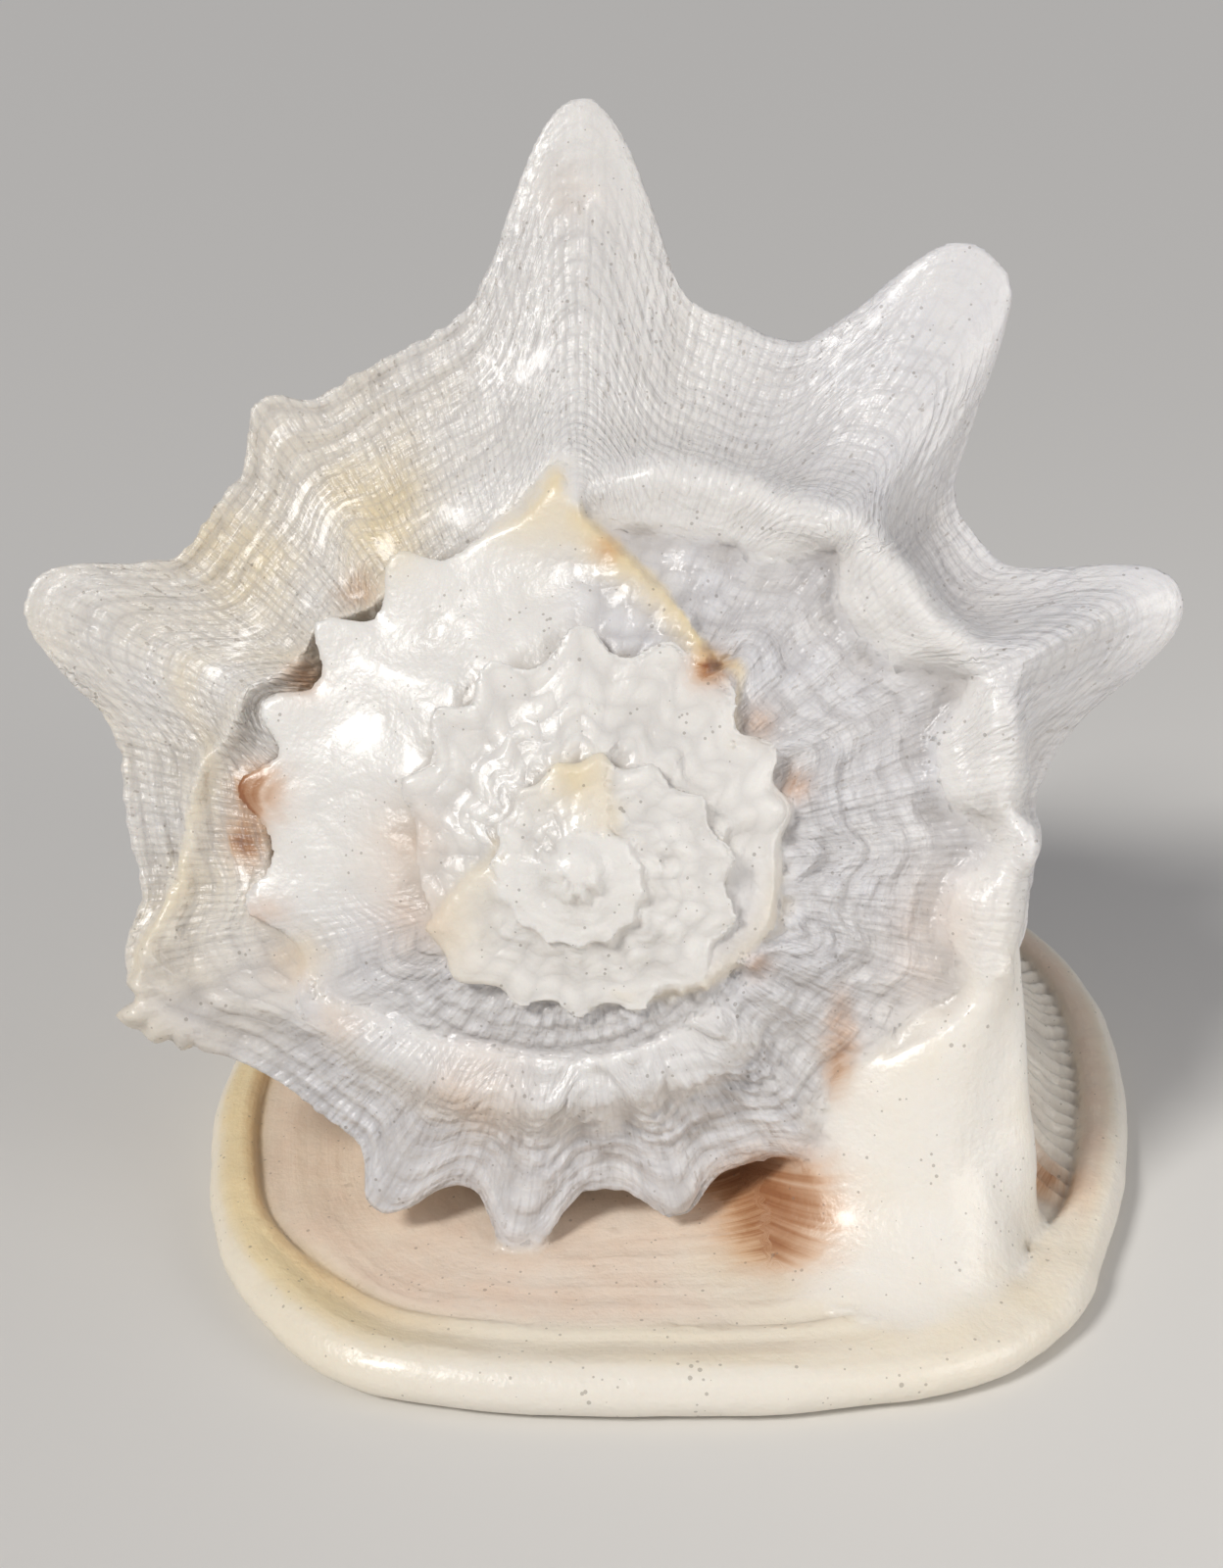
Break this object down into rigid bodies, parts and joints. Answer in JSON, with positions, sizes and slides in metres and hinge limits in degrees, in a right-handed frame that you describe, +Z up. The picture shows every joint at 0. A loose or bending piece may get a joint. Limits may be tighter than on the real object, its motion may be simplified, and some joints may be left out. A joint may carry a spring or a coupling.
{
  "type": "helmet shell",
  "caption": "Horned helmet seashell resting on its flat shield, with a low knobbly spire, blunt shoulder horns, a long toothed mouth beneath and a short upturned canal.",
  "frame": {"origin": "bottom centre of the bounding box, on the surface the shell rests on", "axes": "-Y towards the spire, +Y towards the canal, +X towards the outer lip, +Z up"},
  "size_m": [0.2435, 0.2535, 0.2262],
  "materials": {
    "shell_lime": "natural shell lime, glossy white to cream"
  },
  "bodies": {
    "root": {"shell": "shell_lime"}
  },
  "joints": []
}
